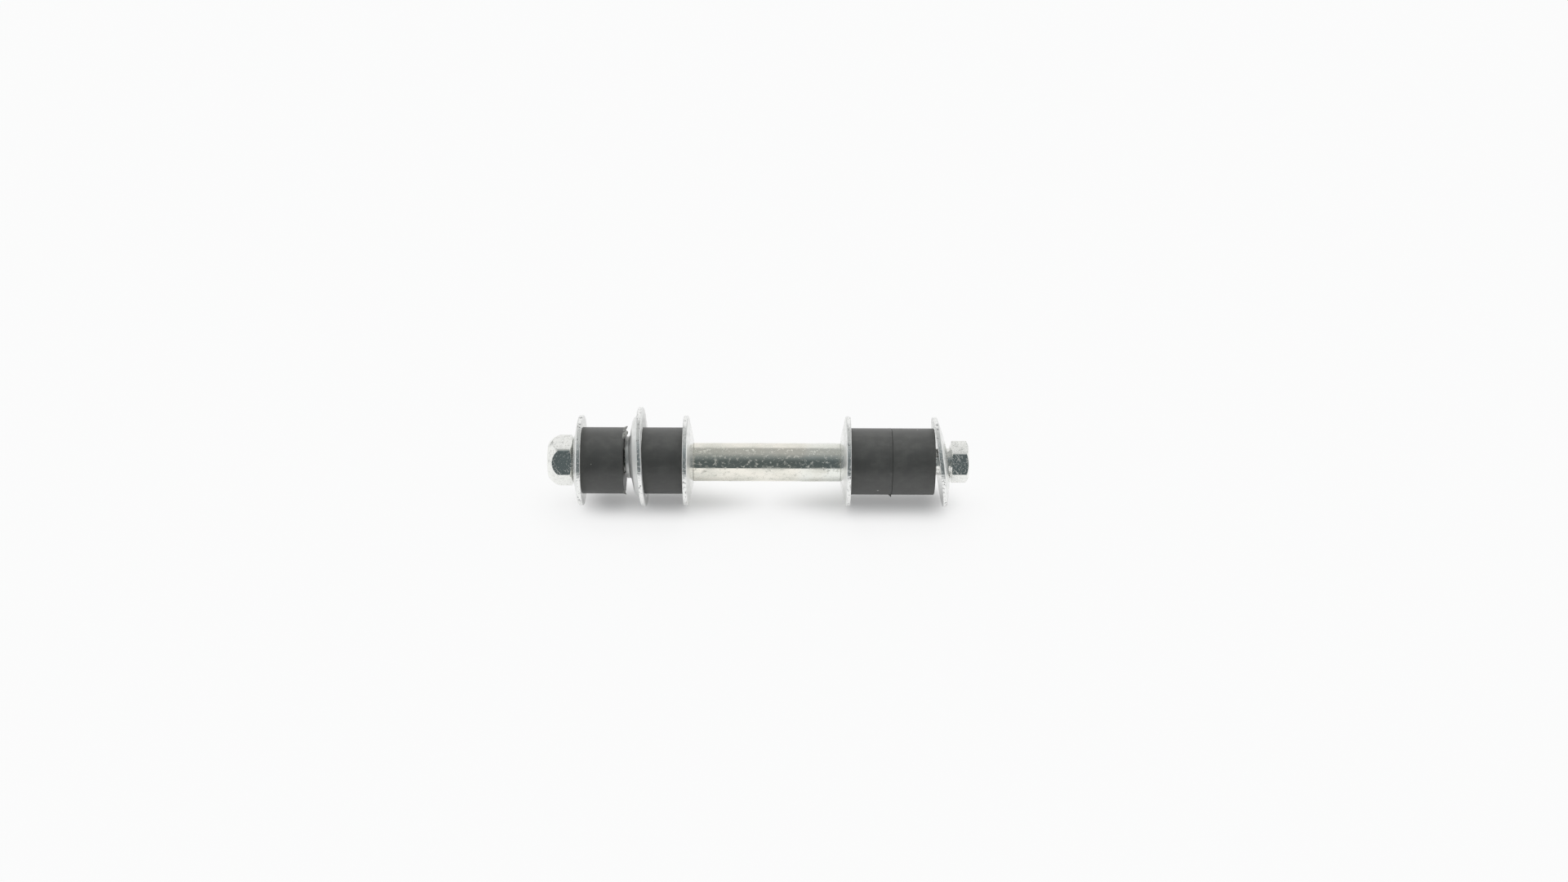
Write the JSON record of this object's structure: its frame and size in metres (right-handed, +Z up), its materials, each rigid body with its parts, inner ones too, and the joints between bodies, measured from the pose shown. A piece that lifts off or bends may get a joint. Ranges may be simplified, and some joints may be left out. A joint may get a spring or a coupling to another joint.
{
  "type": "stabilizer link",
  "caption": "Through-bolt stabilizer link: rubber bushings, dished washers and a spacer sleeve on a bolt with a lock nut, joining a sway bar to a suspension arm.",
  "frame": {"origin": "centre of the bottom of the bounding box: on the ground under the middle of the link's length", "axes": "+X along the bolt towards its head, +Z up, so +Y is level and square to the bolt"},
  "size_m": [0.1576, 0.0374, 0.0374],
  "materials": {
    "bolt_zinc": "zinc plated",
    "nut_zinc": "zinc plated",
    "washer_zinc": "zinc plated, pressed sheet",
    "sleeve_zinc": "zinc plated with a pale yellow tint",
    "bushing_rubber": "matt moulded",
    "nylon": "satin"
  },
  "bodies": {
    "bolt": {"bolt": "bolt_zinc"},
    "lock_nut": {"lock_nut": "nut_zinc"},
    "nylon_ring": {"nylon_ring": "nylon"},
    "outer_washer_nut_end": {"outer_washer_nut_end": "washer_zinc"},
    "outer_bushing_nut_end": {"outer_bushing_nut_end": "bushing_rubber"},
    "collared_washer": {"collared_washer": "washer_zinc"},
    "inner_bushing_nut_end": {"inner_bushing_nut_end": "bushing_rubber"},
    "inner_washer_nut_end": {"inner_washer_nut_end": "washer_zinc"},
    "sleeve": {"sleeve": "sleeve_zinc"},
    "inner_washer_head_end": {"inner_washer_head_end": "washer_zinc"},
    "inner_bushing_head_end": {"inner_bushing_head_end": "bushing_rubber"},
    "outer_bushing_head_end": {"outer_bushing_head_end": "bushing_rubber"},
    "outer_washer_head_end": {"outer_washer_head_end": "washer_zinc"}
  },
  "joints": [
    {"name": "nut_travel", "type": "slide", "parent": "bolt", "child": "nylon_ring", "axis": [-1, 0, 0], "range_m": [0, 0.0075]},
    {"name": "nut_turn", "type": "hinge", "parent": "nylon_ring", "child": "lock_nut", "pos_m": [-0.06939, 0, 0.017], "axis": [-1, 0, 0], "range_deg": [0, 2160]},
    {"name": "stack_slide", "type": "slide", "parent": "bolt", "child": "sleeve", "axis": [1, 0, 0], "range_m": [0, 0.0004]},
    {"name": "loose_washer_rock", "type": "hinge", "parent": "bolt", "child": "outer_washer_head_end", "pos_m": [0.0711, 0, 0.0173], "axis": [0, 0.9205, -0.3907], "range_deg": [0, 12]},
    {"name": "spin_outer_washer_nut_end", "type": "hinge", "parent": "sleeve", "child": "outer_washer_nut_end", "pos_m": [-0.06539, 0, 0.017], "axis": [1, 0, 0], "continuous": true},
    {"name": "spin_outer_bushing_nut_end", "type": "hinge", "parent": "sleeve", "child": "outer_bushing_nut_end", "pos_m": [-0.05819, 0, 0.017], "axis": [1, 0, 0], "continuous": true},
    {"name": "spin_inner_bushing_nut_end", "type": "hinge", "parent": "sleeve", "child": "inner_bushing_nut_end", "pos_m": [-0.03539, 0, 0.017], "axis": [1, 0, 0], "continuous": true},
    {"name": "spin_inner_washer_nut_end", "type": "hinge", "parent": "sleeve", "child": "inner_washer_nut_end", "pos_m": [-0.02819, 0, 0.017], "axis": [1, 0, 0], "continuous": true},
    {"name": "spin_inner_washer_head_end", "type": "hinge", "parent": "sleeve", "child": "inner_washer_head_end", "pos_m": [0.03481, 0, 0.017], "axis": [1, 0, 0], "continuous": true},
    {"name": "spin_inner_bushing_head_end", "type": "hinge", "parent": "sleeve", "child": "inner_bushing_head_end", "pos_m": [0.04201, 0, 0.017], "axis": [1, 0, 0], "continuous": true},
    {"name": "spin_outer_bushing_head_end", "type": "hinge", "parent": "sleeve", "child": "outer_bushing_head_end", "pos_m": [0.05801, 0, 0.017], "axis": [1, 0, 0], "continuous": true},
    {"name": "spin_collared_washer", "type": "hinge", "parent": "sleeve", "child": "collared_washer", "pos_m": [-0.04259, 0, 0.01874], "axis": [0.999, 0, 0.0436], "continuous": true}
  ],
  "couplings": [
    {"joint": "nut_travel", "follows": "nut_turn", "m_per_rad": 0.00019894}
  ]
}
